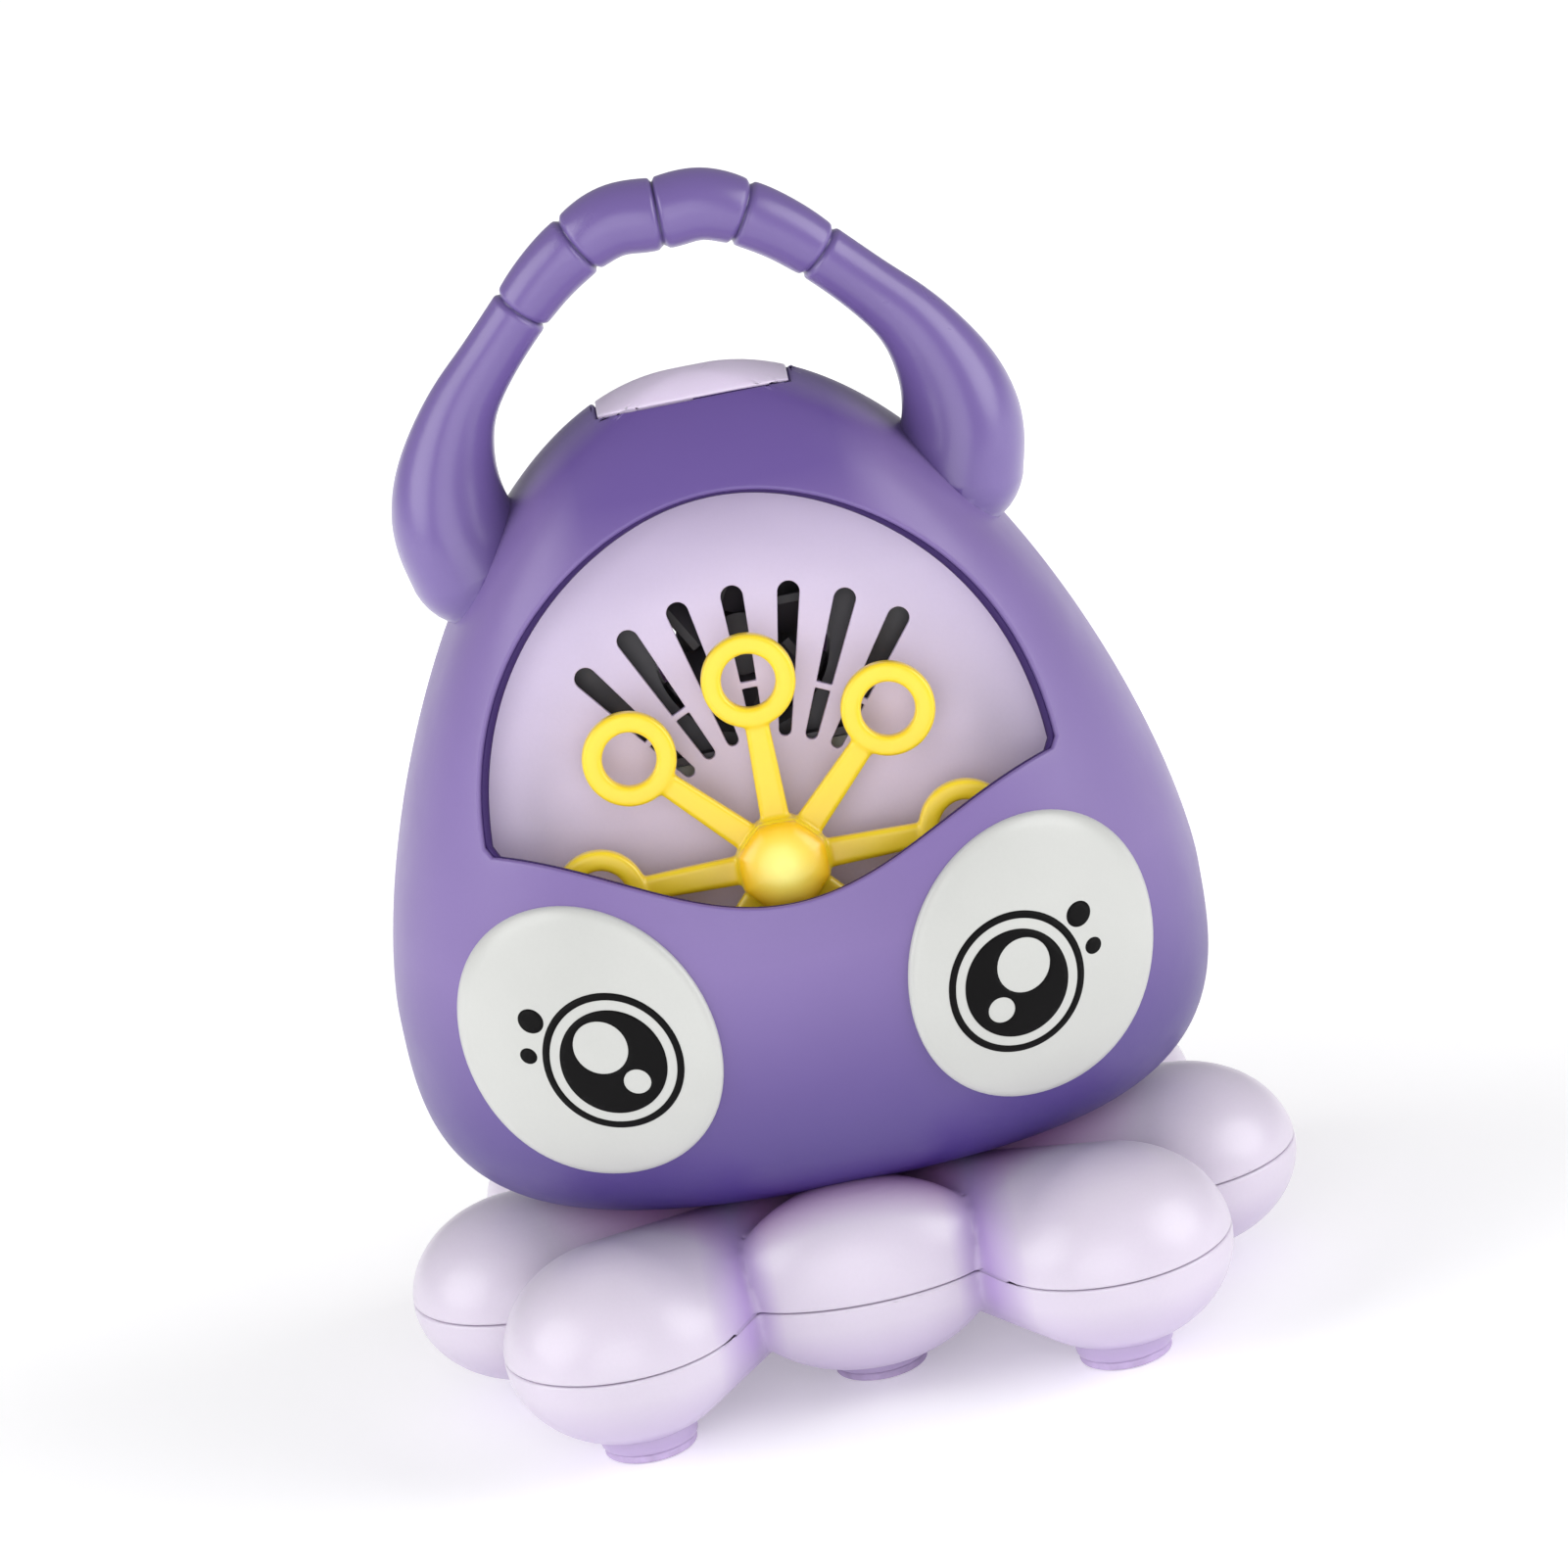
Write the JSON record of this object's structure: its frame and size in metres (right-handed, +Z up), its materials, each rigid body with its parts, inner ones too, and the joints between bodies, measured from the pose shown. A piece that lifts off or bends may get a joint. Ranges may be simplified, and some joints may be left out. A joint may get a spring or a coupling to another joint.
{
  "type": "toy bubble blower",
  "caption": "Hand-held octopus-shaped bubble blower: egg body with round eyes, arched handle, window with a wheel of wands over a soap tank, and a base of round tentacles.",
  "frame": {"origin": "on the floor, under the middle of the base", "axes": "+Z up, the face looks along -Y, +X to the object's left"},
  "size_m": [0.176, 0.1222, 0.2396],
  "materials": {
    "purple_shell": "semi-gloss",
    "lilac_shell": "semi-gloss",
    "lilac_panel": "semi-gloss",
    "yellow_wheel": "semi-gloss",
    "eye_white": "semi-gloss",
    "black_print": "matt",
    "gear_nylon": "matt",
    "dark_plastic": "matt",
    "steel": "satin",
    "motor_can": "satin",
    "cell_jacket": "semi-gloss",
    "contact_metal": "bright",
    "red_lead": "matt",
    "black_lead": "matt",
    "foot_rubber": "matt",
    "seal_rubber": "matt"
  },
  "bodies": {
    "housing": {"front_shell": "purple_shell", "handle": "purple_shell", "rear_shell": "lilac_shell", "base_upper": "lilac_shell", "base_lower": "lilac_shell", "air_panel": "lilac_panel", "solution_tank": "lilac_panel", "battery_box": "lilac_panel", "eye_left": "eye_white", "eye_right": "eye_white", "eye_print_left": "black_print", "eye_print_right": "black_print", "gearbox_case": "gear_nylon", "gearbox_cover": "gear_nylon", "air_duct": "dark_plastic", "motor_bracket": "dark_plastic", "switch_body": "dark_plastic", "gear_pins": "steel", "gearbox_screws": "steel", "duct_screws": "steel", "switch_screws": "steel", "shell_screws": "steel", "base_screws": "steel", "drive_motor": "motor_can", "fan_motor": "motor_can", "cells": "cell_jacket", "battery_springs": "contact_metal", "battery_contacts": "contact_metal", "lead_red": "red_lead", "lead_black": "black_lead", "foot_pads": "foot_rubber", "axle_seal": "seal_rubber"},
    "wheel": {"wand_wheel": "yellow_wheel", "hub_cap": "yellow_wheel", "wheel_axle": "steel", "output_gear": "gear_nylon"},
    "second_gear": {"gear_b": "gear_nylon"},
    "first_gear": {"gear_a": "gear_nylon"},
    "pinion": {"drive_pinion": "gear_nylon"},
    "fan": {"fan_rotor": "dark_plastic", "fan_shaft": "steel"},
    "door": {"battery_door": "lilac_shell", "door_screw": "steel"},
    "switch": {"switch_knob": "yellow_wheel"}
  },
  "joints": [
    {"name": "wheel_spin", "type": "hinge", "parent": "housing", "child": "wheel", "pos_m": [0, -0.036, 0.1127], "axis": [0, 0.9781, -0.2079], "continuous": true},
    {"name": "second_gear_spin", "type": "hinge", "parent": "housing", "child": "second_gear", "pos_m": [0.01973, -0.03749, 0.10568], "axis": [0, 0.9781, -0.2079], "continuous": true},
    {"name": "first_gear_spin", "type": "hinge", "parent": "housing", "child": "first_gear", "pos_m": [0.01327, -0.04119, 0.0883], "axis": [0, 0.9781, -0.2079], "continuous": true},
    {"name": "pinion_spin", "type": "hinge", "parent": "housing", "child": "pinion", "pos_m": [-0.00563, -0.04119, 0.0883], "axis": [0, 0.9781, -0.2079], "continuous": true},
    {"name": "fan_spin", "type": "hinge", "parent": "housing", "child": "fan", "pos_m": [0, -0.02758, 0.15232], "axis": [0, 0.9781, -0.2079], "continuous": true},
    {"name": "door_lift", "type": "slide", "parent": "housing", "child": "door", "axis": [0, 1, 0], "range_m": [0, 0.03]},
    {"name": "switch_slide", "type": "slide", "parent": "housing", "child": "switch", "axis": [1, 0, 0], "range_m": [0, 0.005]}
  ],
  "couplings": [
    {"joint": "second_gear_spin", "follows": "wheel_spin", "ratio": -4},
    {"joint": "first_gear_spin", "follows": "wheel_spin", "ratio": 14},
    {"joint": "pinion_spin", "follows": "wheel_spin", "ratio": -49}
  ]
}
